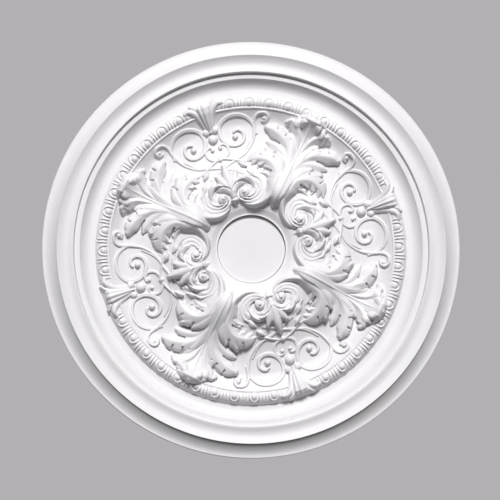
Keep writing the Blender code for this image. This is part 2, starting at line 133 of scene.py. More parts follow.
def field(r):
    """Disc with the gap round it, mouth, centre ring, dome, dish and raised edge."""
    half_wave = 0.5 + 0.5 * np.cos(pi * portion(r, DOME_RADIUS, DISH_RADIUS))
    z = DISH + (DOME - DISH) * half_wave ** 1.4
    z = z + (FIELD_EDGE - DISH) * portion(r, DISH_RADIUS, FIELD_RADIUS) ** 1.6
    inner = RING + (DOME - RING) * ease(portion(r, RING_RADIUS, DOME_RADIUS)) ** 0.8
    z = np.where(r < DOME_RADIUS, inner, z)
    risen = ease(portion(r, MOUTH_RADIUS + MOUTH_FLAT, RING_RADIUS - RING_STEP)) ** 0.9
    slope = MOUTH + (RING - RING_STEP - MOUTH) * risen
    z = np.where(r < RING_RADIUS - RING_STEP, slope, z)
    disc = np.where(r > MOUTH_RADIUS - GAP_WIDTH, DISC - GAP_DEPTH, DISC)
    return np.where(r < MOUTH_RADIUS, disc, z)


def ring_core(r):
    """Plain half-round ring that carries the eggs."""
    across = portion(r, CORE_INNER, CORE_OUTER)
    return VALLEY + CORE_RISE * np.sin(pi * (0.18 + 0.82 * across)) ** 0.7


def bead(r):
    """Fine half-round bead at the edge of the dish."""
    across = (r - BEAD_RADIUS) / BEAD_HALF_WIDTH
    return np.where(np.abs(across) < 1, BEAD_FOOT + BEAD_RISE * half_round(across), 0.0)


def ground(r):
    """Height of the casting without its carving."""
    z = np.where(r < FIELD_RADIUS, field(r), outer_rings(r))
    z = np.where((r >= FIELD_RADIUS) & (r < CORE_INNER), FIELD_EDGE, z)
    z = np.where((r > CORE_INNER) & (r < CORE_OUTER), ring_core(r), z)
    return np.maximum(z, bead(r))


samples = np.array([60.0, 100.0, 210.0, 250.0, 327.0])
print("ground at radii", samples, "mm is", np.round(ground(samples), 1))

# %% [markdown]
# ## Tools for drawing relief
# A carver thinks of a leaf as lobes, each with a ridge that rises and falls and a soft slope on
# either side. A relief like this has no undercuts that show, so every ornament can be a height
# for each point of the plane, and where two of them meet the higher one is seen. Ridge lines
# are smooth curves through a few named points, with height and width carried along.

# %% Curves, lobes, strokes and balls
# slope of a lobe's wall, a height that never shows, how far a wall is drawn, and a guard
WALL = 3.0
NOWHERE = -60.0
LOBE_REACH = 16.0
TINY = 1e-9


def smooth_curve(points, steps=14):
    """Catmull-Rom curve through the points, with every column carried along."""
    knots = np.asarray(points, float)
    knots = np.vstack([2 * knots[0] - knots[1], knots, 2 * knots[-1] - knots[-2]])
    t = np.linspace(0, 1, steps, endpoint=False)[:, None]
    spans = []
    for a, b, c, d in zip(knots[:-3], knots[1:-2], knots[2:-1], knots[3:]):
        spans.append(0.5 * (2 * b + (c - a) * t + (2 * a - 5 * b + 4 * c - d) * t ** 2
                            + (3 * b - a - 3 * c + d) * t ** 3))
    return np.vstack(spans + [knots[-2:-1]])


def nearest_on(x, y, path):
    """Path values at the nearest point of the path, and the distance, positive on its left.

    The nearest point is found between the samples too, so slopes come out smooth.
    """
    best = np.full(x.shape, np.inf)
    values = np.zeros(x.shape + (path.shape[1] - 2,))
    side = np.ones(x.shape)
    for a, b in zip(path[:-1], path[1:]):
        run = b[:2] - a[:2]
        t = ((x - a[0]) * run[0] + (y - a[1]) * run[1]) / max(run @ run, TINY)
        t = np.clip(t, 0, 1)
        dx = x - a[0] - t * run[0]
        dy = y - a[1] - t * run[1]
        squared = dx * dx + dy * dy
        closer = squared < best
        best[closer] = squared[closer]
        side[closer] = np.where(run[0] * dy - run[1] * dx >= 0, 1.0, -1.0)[closer]
        values[closer] = a[2:] + t[closer][:, None] * (b[2:] - a[2:])
    return values, side * np.sqrt(best)


def near(x, y, path, reach):
    """Where the points come near the path at all, to save work."""
    return ((x > path[:, 0].min() - reach) & (x < path[:, 0].max() + reach)
            & (y > path[:, 1].min() - reach) & (y < path[:, 1].max() + reach))


def lobe(x, y, points, left, right):
    """A lobe hung from a ridge line through points (x, y, height, width share).

    left and right are (half width, drop at the edge, curve of the slope). Past its edge the
    lobe falls off as a steep wall, and its ends are round.
    """
    z = np.full(x.shape, NOWHERE)
    path = smooth_curve(points)
    box = near(x, y, path, max(left[0], right[0]) * path[:, 3].max() + LOBE_REACH)
    if not box.any():
        return z
    values, side = nearest_on(x[box], y[box], path)
    share = np.maximum(values[:, 1], 0.02)
    width = np.where(side > 0, left[0], right[0]) * share
    drop = np.where(side > 0, left[1], right[1]) * np.clip(share, 0, 1)
    power = np.where(side > 0, left[2], right[2])
    slope = values[:, 0] - drop * np.minimum(np.abs(side) / width, 1.0) ** power
    z[box] = slope - WALL * np.maximum(np.abs(side) - width, 0)
    return z


def stroke(x, y, points, base, crease=0.0):
    """A round cord lying on the ground, through points (x, y, half width, height)."""
    z = np.full(x.shape, NOWHERE)
    path = smooth_curve(points)
    box = near(x, y, path, path[:, 2].max() + 1.0)
    if not box.any():
        return z
    values, side = nearest_on(x[box], y[box], path)
    across = np.abs(side) / np.maximum(values[:, 0], 0.05)
    crown = values[:, 1] * half_round(across)
    crown -= crease * np.exp(-(across / 0.3) ** 2)
    z[box] = np.where(across < 1, base[box] + crown, NOWHERE)
    return z


def ball(x, y, centre, radius, base, rise):
    """A half ball on the ground."""
    across = np.hypot(x - centre[0], y - centre[1]) / radius
    return np.where(across < 1, base + rise * half_round(across), NOWHERE)


def highest(*parts):
    """The higher of several reliefs."""
    return np.max(parts, axis=0)


# %% [markdown]
# ## Acanthus leaf
# Four great leaves lie on the X and Y axes. Each springs from the centre ring at full height,
# hollows towards the middle of its length and curls up again in a small fan over the egg ring.
# Half a leaf is drawn, with the midrib along +Y and the lobes to the right of it, and mirrored.

# %% Spine of the leaf
LEAF_BASE = 53.5
LEAF_BASE_END = 104.0
LEAF_LOW = 15.0
LEAF_LOW_AT = 195.0
BASE_LENGTH = 28.0
BASE_DROP = 28.0
CURL_RISE = 27.5
CURL_END = 236.0
TIP_START = 242.0
TIP_END = 253.0
TIP_DROP = 17.0


def leaf_spine(y):
    """Height of the leaf along its midrib: swelling base, hollow middle, curled tip."""
    base = LEAF_BASE - BASE_DROP * np.clip((LEAF_BASE_END - y) / BASE_LENGTH, 0, 2) ** 2.2
    half_wave = 0.5 + 0.5 * np.cos(pi * portion(y, LEAF_BASE_END, LEAF_LOW_AT))
    middle = LEAF_LOW + (LEAF_BASE - LEAF_LOW) * half_wave ** 1.15
    curl = LEAF_LOW + CURL_RISE * portion(y, LEAF_LOW_AT, CURL_END) ** 2.2
    z = np.where(y < LEAF_BASE_END, base, np.where(y < LEAF_LOW_AT, middle, curl))
    return z - TIP_DROP * ease(portion(y, TIP_START, TIP_END))


samples = np.array([LEAF_BASE_END, LEAF_LOW_AT, CURL_END])
print("spine at", samples, "mm is", np.round(leaf_spine(samples), 1))

# %% [markdown]
# The real leaf has a great scroll at its foot that winds round the volute, a crest of teeth on
# top of it, a long middle lobe and a small upper lobe. It could be sculpted by hand, but here
# each lobe is one ridge line and its teeth are short ones, so that a tooth can be moved without
# touching the others. Drilled holes and cuts between the leaflets are taken away at the end, as
# a carver would do.

# %% Lobes, holes and cuts of the leaf
LEAF_LOBES = (
    # points of the ridge (x, y, height, width share), then the slope on its left and its right
    # great scroll: up from the foot, round the volute and up to the crest
    (((50, 64.5, 31, 0.3), (41, 63.8, 32.5, 0.35), (31, 67, 34.5, 0.45), (22, 74, 37.5, 0.55),
      (15.5, 84, 41.5, 0.75), (11.5, 95, 45.5, 1.0), (11, 107, 47.5, 1.35), (13.5, 120, 45, 1.7),
      (18, 132, 42, 1.1)), (4, 2, 1.6), (11, 22, 1.8)),
    # crest, the tongue under it, and its teeth
    (((13, 120, 45, 0.5), (18, 132, 42, 0.9), (28, 141, 38, 1.0), (40, 145, 34.5, 1.0),
      (52, 143, 30.5, 0.95), (62, 138, 26, 0.75), (71, 131, 20, 0.1)), (14, 8, 1.4), (12, 7, 1.2)),
    (((14, 119, 44, 0.6), (22, 122, 38, 1.0), (33, 124, 32, 1.0), (46, 121, 26, 0.2)),
     (5, 4, 1.5), (12, 16, 1.4)),
    (((12, 134, 41, 0.5), (20, 149, 35, 1.0), (31, 161.5, 26.5, 0.3)), (8, 4, 1.6), (7, 3, 1.6)),
    (((26, 141, 37, 0.5), (39, 153, 31, 1.0), (50, 161, 24, 0.3)), (8, 4, 1.6), (7, 3, 1.6)),
    (((46, 145, 32, 0.6), (57, 150, 26, 1.0), (64, 149, 20.5, 0.3)), (6, 3, 1.6), (6, 3, 1.6)),
    (((54, 142, 28, 0.6), (60, 134, 25.5, 1.0), (62, 128, 23, 0.4)), (5, 3, 1.6), (5, 3, 1.6)),
    (((42, 143, 32, 0.6), (48, 134, 28.5, 1.0), (50, 127.5, 26, 0.4)), (5, 3, 1.6), (5, 3, 1.6)),
    (((30, 140, 36, 0.6), (37, 132, 31.5, 1.0), (39, 127, 29, 0.4)), (5, 3, 1.6), (5, 3, 1.6)),
    # middle lobe
    (((5, 148, 32, 0.5), (12, 169, 23, 0.9), (22, 184, 20, 1.0), (38, 193, 19.5, 1.0),
      (54, 197.5, 19.5, 0.9), (65, 197.5, 16.5, 0.35)), (12, 4, 1.5), (11.5, 8, 1.3)),
    (((9, 168, 23.5, 0.5), (15, 186, 19.5, 0.9), (23, 200.5, 15.5, 0.4)), (7, 3, 1.6), (6, 2.5, 1.6)),
    (((20, 182, 20.5, 0.5), (33, 195, 19.5, 1.0), (43, 204.5, 14.5, 0.4)), (7, 3, 1.6), (6, 2.5, 1.6)),
    (((40, 194, 19.5, 0.5), (52, 200, 18, 1.0), (62, 201, 13.5, 0.4)), (5, 2.5, 1.6), (5, 2.5, 1.6)),
    (((8, 152, 29, 0.5), (18, 166, 21.5, 1.0), (34, 173.5, 17.5, 1.0), (46, 175.5, 15.5, 0.9),
      (54, 176, 12, 0.3)), (6.5, 2.5, 1.6), (9.5, 5, 1.4)),
    # upper lobe
    (((3, 178, 16.5, 0.3), (7, 194, 17.5, 0.7), (12, 208, 20, 1.0), (21, 219, 24, 1.0),
      (32, 224.5, 24.5, 0.9), (38, 222.5, 20.5, 0.4)), (4, 2, 1.5), (11, 9.5, 1.0)),
    (((10, 190, 15, 0.5), (19, 200, 15.5, 1.0), (28, 206, 13, 0.3)), (4, 2, 1.5), (4.5, 2.5, 1.5)),
)

# x, y, height and width share of the tips of the fan that curls over the egg ring
FAN_TIPS = ((0.0, 240.0, 42.0, 0.6), (11.0, 236.5, 38.5, 0.55), (22.5, 231.5, 29.5, 0.5))
FAN_ROOT = 204.0
FAN_LOW = 15.6
FAN_SLOPE = (8.0, 2.4, 2.2)

# x, y, radius and depth of the round holes drilled between the lobes
LEAF_HOLES = ((32, 199, 1.8, 4.5), (48, 203.5, 1.8, 4.5), (33, 155, 2.0, 6.0), (56, 149.5, 2.0, 5.0),
              (21, 196.5, 1.5, 3.5), (36, 182.5, 1.8, 5.0), (28, 131, 2.0, 6.0))

# points (x, y, half width, depth) of the long cuts between the leaflets
LEAF_CUTS = (
    ((36, 182.5, 1.6, 4.5), (46, 183.5, 1.9, 6.0), (59, 181.5, 2.4, 7.0)),
    ((27, 131, 1.4, 5.0), (36, 131, 2.2, 7.0), (48, 129.5, 2.6, 7.0)),
    ((54.5, 138, 1.2, 1.5), (55.5, 132, 1.8, 4.5), (56.5, 125, 2.2, 6.5)),
    ((43, 138, 1.2, 1.5), (44.5, 132, 1.8, 4.5), (45.5, 126, 2.2, 6.5)),
    ((65, 134, 1.0, 1.5), (66, 129, 1.6, 3.5), (66.5, 124, 2.0, 5.0)),
    ((32, 198, 1.4, 3.0), (30, 202, 2.0, 5.0), (29, 207, 3.0, 7.0)),
    ((48, 202, 1.4, 3.0), (48, 206, 2.0, 5.0), (47.5, 211, 3.0, 7.0)),
    ((33.5, 156, 1.2, 2.5), (34, 159, 1.8, 4.0), (35, 164, 2.8, 7.0)),
    ((57, 150, 1.2, 2.5), (58.5, 152.5, 1.8, 4.0), (61, 157, 2.8, 6.0)),
)
print(len(LEAF_LOBES), "lobes,", len(LEAF_HOLES), "holes and", len(LEAF_CUTS), "cuts in half a leaf")

# %% Leaf heights
# x along the foot, and the radius where the foot meets the centre ring
LEAF_FOOT = ((0, 8, 14, 24, 40, 60), (77.0, 77.6, 79.5, 76.5, 76.0, 80.0))
# y along the leaf, and how far the blade reaches beside the midrib
BLADE_EDGE = ((76, 84, 92, 104, 120, 130, 150, 170, 190, 210, 240),
              (0, 2, 6, 9, 10, 13, 18, 24, 18, 10, 11))
BLADE_END = 238.0
BLADE_SINK = 0.3
BLADE_TILT = 0.14
EDGE_FALL = 1.2
END_FALL = 0.9
# y along the midrib, its half width and its rise over the spine
RIB_AT = (78, 110, 150, 215, 232)
RIB_WIDTH = (2.6, 2.2, 1.8, 1.3, 0.4)
RIB_RISE = (0.5, 1.0, 1.2, 1.1, 0.0)


def cut(x, y, points):
    """Depth of a groove through points (x, y, half width, depth)."""
    path = smooth_curve(points, 8)
    depth = np.zeros(x.shape)
    box = near(x, y, path, path[:, 2].max() + 1.0)
    if box.any():
        values, side = nearest_on(x[box], y[box], path)
        depth[box] = values[:, 1] * np.clip(1 - (side / values[:, 0]) ** 2, 0, 1)
    return depth


def fan_lobe(x, y, tip_x, tip_y, top, share):
    """One lobe of the fan, from the low middle of the leaf up to its tip."""
    middle = (0.45 * tip_x, 0.45 * FAN_ROOT + 0.55 * tip_y, 0.72 * FAN_LOW + 0.28 * top, 0.8)
    points = ((0.1 * tip_x, FAN_ROOT, FAN_LOW, 0.5), middle,
              (0.9 * tip_x, tip_y - 6, 0.95 * top, 1.0), (tip_x, tip_y, top - 3.0, share))
    return lobe(x, y, points, FAN_SLOPE, FAN_SLOPE)


def leaf_height(x, y):
    """Half of the great leaf: blade, midrib, lobes and fan, less its cuts and holes."""
    spine = leaf_spine(y)
    foot = np.hypot(x, y) - np.interp(x, *LEAF_FOOT)
    past_edge = np.clip(x - np.interp(y, *BLADE_EDGE), 0, None)
    past_end = np.clip(y - BLADE_END, 0, None)
    blade = spine - BLADE_SINK - BLADE_TILT * x - EDGE_FALL * past_edge - END_FALL * past_end
    width = np.interp(y, RIB_AT, RIB_WIDTH)
    rib = spine + np.interp(y, RIB_AT, RIB_RISE) * half_round(x / width)
    on_rib = (x < width) & (y > RIB_AT[0]) & (y < RIB_AT[-1])
    parts = [blade + WALL * np.minimum(foot, 0), np.where(on_rib, rib, NOWHERE)]
    parts += [lobe(x, y, points, left, right) for points, left, right in LEAF_LOBES]
    parts += [fan_lobe(x, y, *tip) for tip in FAN_TIPS]
    z = highest(*parts)
    for points in LEAF_CUTS:
        z = z - cut(x, y, points)
    for hole_x, hole_y, radius, depth in LEAF_HOLES:
        z = z - depth * np.clip(1 - ((x - hole_x) ** 2 + (y - hole_y) ** 2) / radius ** 2, 0, 1)
    return z


# %% [markdown]
# ## Volutes and palmette
# Between two leaves, a pair of volutes rolls in under a three-lobed palmette, tied by a small
# knot. Each volute is a smooth shell that flows out of the leaf, with three flat rolls on
# spirals round its eye. A cone with a groove that winds up it fills the eye like a snail. Half
# of the device is drawn on one side of the diagonal and mirrored.

# %% Volute heights
EYE = (53.0, 79.0)
# radius, level and rise of the small ball on top of the cone
EYE_BALL = (2.8, 40.0, 2.6)
CONE_TOP = 41.5
CONE_SLOPE = 0.45
CONE_RADIUS = 9.0
BRIM = 31.0
BRIM_RISE = 4.5
BRIM_SPREAD = 10.0
# bearings counted from SHELL_START degrees past +X, and from the eye to the edge of the shell
SHELL_START = 20
SHELL_EDGE = ((0, 30, 60, 85, 115, 150, 175, 190, 210, 235, 260, 295, 340, 360),
              (13, 14, 22, 32, 33.5, 34, 30.5, 26, 21, 17.5, 15.0, 12.5, 12, 13))
SHELL_ROUND = 3.0
SHELL_DROP = 2.2
ROLL_SINK = 1.2
ROLL_RISE = 1.1
VOLUTE_ROLLS = (
    # turn in degrees from +X, radius, height, half width
    ((92, 33.5, 31.5, 1.5), (112, 35.5, 32.0, 2.6), (132, 35.0, 32.5, 3.2), (150, 32.0, 33.0, 3.2),
     (172, 26.5, 33.2, 2.9), (200, 20.0, 33.6, 2.4), (230, 15.6, 34.4, 2.1), (262, 12.8, 35.6, 1.9),
     (300, 10.8, 37.0, 1.7), (345, 9.6, 38.0, 1.5)),
    ((100, 25.5, 33.0, 1.5), (118, 28.0, 33.2, 2.4), (136, 27.5, 33.5, 2.8), (152, 24.2, 33.8, 2.6),
     (178, 18.6, 34.4, 2.2), (205, 13.4, 36.0, 1.8), (240, 9.8, 38.4, 1.5)),
    ((110, 19.6, 33.6, 1.4), (128, 21.0, 34.0, 2.2), (146, 19.0, 34.4, 2.2), (172, 13.8, 36.4, 1.7),
     (200, 9.8, 38.4, 1.3)),
)


def on_turn(centre, turn, radius):
    """Point at this turn in degrees from +X and this radius from the centre."""
    return centre[0] + radius * cos(radians(turn)), centre[1] + radius * sin(radians(turn))


def volute_height(x, y):
    """Smooth shell, three rolls and the cone in the eye."""
    bearing = (np.degrees(np.arctan2(y - EYE[1], x - EYE[0])) - SHELL_START) % 360
    distance = np.hypot(x - EYE[0], y - EYE[1])
    edge = np.interp(bearing, *SHELL_EDGE)
    brim = BRIM + 0.5 + 0.5 * np.cos(np.radians(bearing - 100))
    brim = brim + BRIM_RISE * np.exp(-(distance / BRIM_SPREAD) ** 4)
    rounding = half_round(portion(distance, edge - SHELL_ROUND, edge))
    shell = brim - SHELL_DROP * (1 - rounding) - WALL * np.clip(distance - edge, 0, None)
    cone = CONE_TOP - CONE_SLOPE * distance - WALL * np.clip(distance - CONE_RADIUS, 0, None)
    radius, base, rise = EYE_BALL
    parts = [shell, cone, ball(x, y, EYE, radius, base, rise)]
    for turns in VOLUTE_ROLLS:
        path = smooth_curve([(*on_turn(EYE, turn, out), top, width)
                             for turn, out, top, width in turns], 8)
        values, side = nearest_on(x, y, path)
        across = np.abs(side) / values[..., 1]
        roll = values[..., 0] - ROLL_SINK + ROLL_RISE * half_round(across)
        parts.append(np.where(across < 1, roll, NOWHERE))
    return highest(*parts)


print("volutes with", len(VOLUTE_ROLLS), "rolls round an eye at", EYE)


# %% Palmette heights
def device_points(points):
    """Points given as (across, along, ...) of the device, as (x, y, ...) of the plate."""
    return [((along - across) / sqrt(2), (along + across) / sqrt(2), *rest)
            for across, along, *rest in points]


PALMETTE_LOBES = (
    # points of the ridge (across, along, height, width share), then the slope on its left and
    # its right in the plate: centre lobe, side lobe, two cupped petals, two buds, knot and tail
    (((0, 93, 40, 0.6), (0, 106, 43, 1.0), (0, 120, 41.5, 0.95), (0, 133, 38, 0.7),
      (0, 144.5, 32, 0.2)), (7.0, 3.0, 1.8), (7.0, 3.0, 1.8)),
    (((3, 100, 41, 0.6), (7, 112, 42, 1.0), (11, 121, 40, 1.0), (16.5, 130, 35.5, 0.3)),
     (6.2, 3, 1.7), (6.2, 3, 1.7)),
    (((7, 103, 40, 0.4), (12, 111, 42, 0.9), (20, 116, 42.5, 1.0), (27.5, 115, 39.5, 0.7)),
     (11, 8, 0.9), (1.6, 1.2, 2.0)),
    (((28, 118, 39, 0.5), (33, 113.5, 40, 1.0), (37, 107, 38.5, 0.9), (38.5, 100, 36, 0.5)),
     (9, 6, 0.9), (1.6, 1.2, 2.0)),
    (((46, 113, 31, 0.2), (41, 120, 32, 1.0), (36.5, 126.5, 29, 0.2)),
     (4.2, 2.6, 1.6), (4.2, 2.6, 1.6)),
    (((37, 134.5, 28, 0.2), (32, 139.5, 28, 1.0), (28, 144, 25, 0.2)),
     (3.6, 2.6, 1.6), (3.6, 2.6, 1.6)),
    (((0, 85, 40, 1.0), (2, 85.4, 40, 1.0)), (3.4, 4, 1.8), (3.4, 4, 1.8)),
    (((0, 80, 32, 0.7), (0, 76, 27, 1.0)), (4.5, 4, 1.2), (4.5, 4, 1.2)),
)


def palmette_height(x, y):
    """Half of the palmette: centre, side tip, petals under the volute, buds and knot."""
    return highest(*[lobe(x, y, device_points(points), left, right)
                     for points, left, right in PALMETTE_LOBES])


# points (across, along, half width, depth) of the groove where the cupped petals part from
# the volute
PETAL_LINE = ((2, 103, 1.2, 2.0), (8, 109.5, 1.8, 4.0), (18, 113, 2.0, 4.5),
              (27, 109.5, 2.0, 4.5), (32.5, 102, 1.6, 3.0))
# the deep groove round the snail in the eye, and the line that winds up it
SNAIL_GROOVE = ((10, 84, 1.2, 2.5), (8.2, 91, 1.7, 4.0), (11, 99.5, 2.3, 6.5), (18.5, 103, 2.8, 8.0),
                (25.5, 100, 2.8, 8.0), (28.5, 93, 2.3, 5.5), (26.5, 86, 1.4, 2.0))
SNAIL_LINE = ((24.5, 88, 0.9, 1.0), (21, 85.2, 1.4, 3.0), (16, 86, 1.7, 4.0), (14, 91, 1.6, 3.6),
              (16, 95.5, 1.3, 2.2), (20, 96.5, 0.9, 0.8))


def device_height(x, y):
    """Volute and palmette together, with the grooves between their parts."""
    z = highest(volute_height(x, y), palmette_height(x, y))
    for line in (PETAL_LINE, SNAIL_GROOVE, SNAIL_LINE):
        z = z - cut(x, y, device_points(line))
    return z


print("palmette with", len(PALMETTE_LOBES), "lobes on each side of the diagonal")


# %% [markdown]
# ## Scrollwork
# The low scrolls between the leaves are cords on the dish: a stem with a curl at its end, a wide
# C scroll, a heart with pearls, and thin cords that cross under the tip of the palmette.

# %% Scrollwork heights
SCROLL_CENTRE = (109.0, 164.0)
# turn in degrees from +X and radius of the wide C scroll, from its outer end into its eye
SCROLL_TURNS = ((150, 35), (120, 34), (90, 33.5), (60, 32), (30, 31), (0, 30), (-30, 26),
                (-60, 22.5), (-90, 20), (-120, 18.5), (-150, 17.5), (-180, 16), (-215, 13.5),
                (-250, 10.5), (-290, 7.5), (-330, 5))
# points (x, y, half width, rise) of the cords
STEM = ((78, 204, 2.8, 4.5), (73, 207, 3.2, 5.5), (73, 214, 3.4, 6), (80, 217, 3.2, 5.5),
        (90, 211, 2.8, 4.5), (91, 200, 3.0, 4.2), (83, 184, 3.2, 3.8), (77.5, 164, 2.4, 3.0),
        (80, 141, 2.0, 2.6), (87, 128, 2.0, 2.6), (94, 117, 2.0, 2.8), (100, 104, 2.0, 2.8))
STEM_END = ((104, 100, 2.0, 2.8), (88, 105, 2.0, 2.6), (69, 108, 2.4, 2.4), (52, 111, 2.0, 1.0))
HEART = ((113, 113, 2.6, 3), (107, 121, 2.8, 3.4), (106, 131, 2.8, 3.6), (112, 139, 2.6, 3.8),
         (120, 140, 2.4, 3.8), (125, 135, 2.4, 4), (122.5, 130, 2.4, 4))
# centre, radius and rise
SCROLL_BALLS = (((77, 209), 4.4, 6.5), ((107.5, 160), 5.2, 7.5), ((121.5, 131.5), 3.6, 5.5),
                ((113, 113), 4.6, 6.0), ((139, 139), 8.5, 9.0), ((143, 155), 6.5, 8.0))
CROSSING_CORDS = (
    # (across, along, half width, rise) from one side of the diagonal to the other
    ((58, 174, 1.5, 2.4), (45, 161, 1.5, 2.4), (32, 153, 1.6, 2.6), (14, 147, 1.6, 2.8),
     (-2, 142, 1.6, 3.0)),
    ((-2, 142.5, 1.6, 3.0), (14, 136, 1.6, 3.0), (27, 130, 1.5, 2.6)),
    ((-1, 162, 2.2, 4.0), (14, 156, 2.2, 4.0), (27, 149, 2.2, 4.0), (38, 143, 1.8, 3.0)),
)


def scroll_height(x, y):
    """Stems, C scroll, heart, balls and crossing cords on one side of the diagonal."""
    base = ground(np.hypot(x, y))
    wound = []
    for number, (turn, radius) in enumerate(SCROLL_TURNS):
        t = number / (len(SCROLL_TURNS) - 1)
        width = 2.6 + 1.4 * sin(pi * min(1.0, 1.1 * t))
        wound.append((*on_turn(SCROLL_CENTRE, turn, radius), width, 3.6 + 1.6 * t))
    parts = [stroke(x, y, STEM, base), stroke(x, y, STEM_END, base), stroke(x, y, HEART, base, 0.5),
             stroke(x, y, wound, base, 0.8)]
    for centre, radius, rise in SCROLL_BALLS:
        parts.append(ball(x, y, centre, radius, base, rise))
    for points in CROSSING_CORDS:
        parts.append(stroke(x, y, device_points(points), base))
    return highest(*parts)


print("scrollwork with", len(SCROLL_BALLS), "balls and", len(CROSSING_CORDS), "crossing cords")


# %% [markdown]
# ## Trumpet
# A fluted trumpet crosses the egg ring on each diagonal, with two small leaves curling off
# either side of it. Its width and height grow along the diagonal, so two short tables are
# enough, and the flutes are a wave across it.

# %% Trumpet heights
TRUMPET_START = 207.0
TRUMPET_MOUTH = 255.0
TRUMPET_END = 262.0
# along the diagonal, and the half width or the height there
TRUMPET_WIDTH = ((208, 214, 225, 240, 252, 258), (3.0, 3.5, 6.5, 9.5, 12.0, 11.0))
TRUMPET_TOP = ((206, 212, 225, 240, 250, 258), (12, 13, 22, 31, 33, 27))
TRUMPET_DROP = 5.0
FLUTE_TURN = 8.2
SIDE_LEAVES = (
    # points of the ridge (x, y, height, width share), then the slope on both sides
    (((149, 157, 12, 0.5), (157, 171, 20, 0.9), (161.5, 184, 27, 1.0), (160, 195, 29, 0.8),
      (153, 200, 27, 0.5)), (4.5, 3, 1.6)),
    (((152, 160, 14, 0.4), (164, 176, 24, 0.8), (169, 188, 27, 0.8), (168, 197, 24, 0.4)),
     (3.5, 2.5, 1.6)),
)


def trumpet_height(x, y):
    """Half of the trumpet and its side leaves."""
    along = (x + y) / sqrt(2)
    across = np.abs(x - y) / sqrt(2)
    half = np.interp(along, *TRUMPET_WIDTH)
    share = across / half
    horn = np.interp(along, *TRUMPET_TOP) - TRUMPET_DROP * np.minimum(share, 1) ** 2
    horn = horn + np.cos(FLUTE_TURN * share) * (share < 1)
    horn -= WALL * (np.clip(across - half, 0, None) + np.clip(along - TRUMPET_MOUTH, 0, None))
    parts = [np.where((along > TRUMPET_START) & (along < TRUMPET_END), horn, NOWHERE)]
    parts += [lobe(x, y, points, slope, slope) for points, slope in SIDE_LEAVES]
    return highest(*parts)


print("trumpets run from", TRUMPET_START, "to", TRUMPET_END, "mm along the diagonals")


# %% [markdown]
# ## Egg and dart
# One unit is an egg in its arch with a thin dart on either side. Forty of them stand on the
# ring, ten between each trumpet and the next. Only one unit is made, since all are the same.

# %% Egg unit heights
EGG_PITCH = 7.65
EGG_RADIUS = 248.0
EGG_HALF_WIDTH = 5.2
EGG_RISE = 3.4
ARCH_AT = 8.0
ARCH_HALF_WIDTH = 1.5
ARCH_RISE = 3.0
DART_AT = 2.6
DART_HALF_WIDTH = 1.3
DART_RISE = 2.8
UNIT_MIDDLE = 250.0
UNIT_REACH = 9.8
UNIT_SINK = 0.6


def flat_band(distance, middle, half_width):
    """Band with a flat top and round edges: 1 in its middle, 0 beyond its half width."""
    return np.clip(1 - ((distance - middle) / half_width) ** 4, 0, 1)


def egg_height(x, y):
    """One egg unit round +Y: egg, arch and darts on the ring's core.

    A dart stands DART_AT inside the border of the unit, an arch ARCH_AT from the egg's middle.
    """
    r = np.hypot(x, y)
    off = np.abs(np.arctan2(x, y)) * r
    away = np.where(r > EGG_RADIUS, np.hypot(off, 0.9 * (r - EGG_RADIUS)), off)
    egg = EGG_RISE * half_round(away / EGG_HALF_WIDTH)
    arch = ARCH_RISE * flat_band(away, ARCH_AT, ARCH_HALF_WIDTH)
    between = np.abs(radians(EGG_PITCH) * r / 2 - off)
    dart = DART_RISE * flat_band(between, DART_AT, DART_HALF_WIDTH)
    fade = np.exp(-((r - UNIT_MIDDLE) / UNIT_REACH) ** 6)
    core = ring_core(np.clip(r, CORE_INNER + 0.2, CORE_OUTER - 0.2))
    return core + highest(egg, arch, dart) * fade - UNIT_SINK


print("eggs every", EGG_PITCH, "degrees at a radius of", EGG_RADIUS, "mm")


# %% [markdown]
# ## From heights to meshes
# Each ornament becomes a fine sheet of quads, kept only where it stands clear of the ground, with
# its rim sunk just under the ground's surface so that no gap shows. The carved face looks down, so
# a height h lies at Z = -h, and faces are wound to look down too.

# %% Sheet builder
SINK = 0.6
CLEAR = 0.05
WELD = 0.00001


def add_object(name, data):
    """New object with this data, linked into the scene."""
    made = bpy.data.objects.new(name, data)
    bpy.context.collection.objects.link(made)
    return made


def sheet(name, heights, low, high, step, diagonal=False):
    """Relief over a rectangle of (across, along); on a diagonal device, across is square to it."""
    across = np.arange(low[0], high[0] + step, step)
    along = np.arange(low[1], high[1] + step, step)
    a, b = np.meshgrid(across, along, indexing="ij")
    x, y = ((b - a) / sqrt(2), (b + a) / sqrt(2)) if diagonal else (a, b)
    floor = ground(np.hypot(x, y)) - SINK
    z = np.maximum(heights(x, y), floor)
    clear = z > floor + CLEAR
    keep = clear[:-1, :-1] | clear[1:, :-1] | clear[:-1, 1:] | clear[1:, 1:]
    number = np.arange(x.size).reshape(x.shape)
    quads = np.stack([number[:-1, :-1], number[:-1, 1:], number[1:, 1:], number[1:, :-1]],
                     axis=-1)[keep]
    if diagonal:
        quads = quads[:, ::-1]
    used, quads = np.unique(quads, return_inverse=True)
    places = np.stack([x, y, -z], axis=-1).reshape(-1, 3)[used] * MM
    mesh = bpy.data.meshes.new(name)
    mesh.from_pydata(places.tolist(), [], quads.reshape(-1, 4).tolist())
    mesh.validate()
    return add_object(name, mesh)


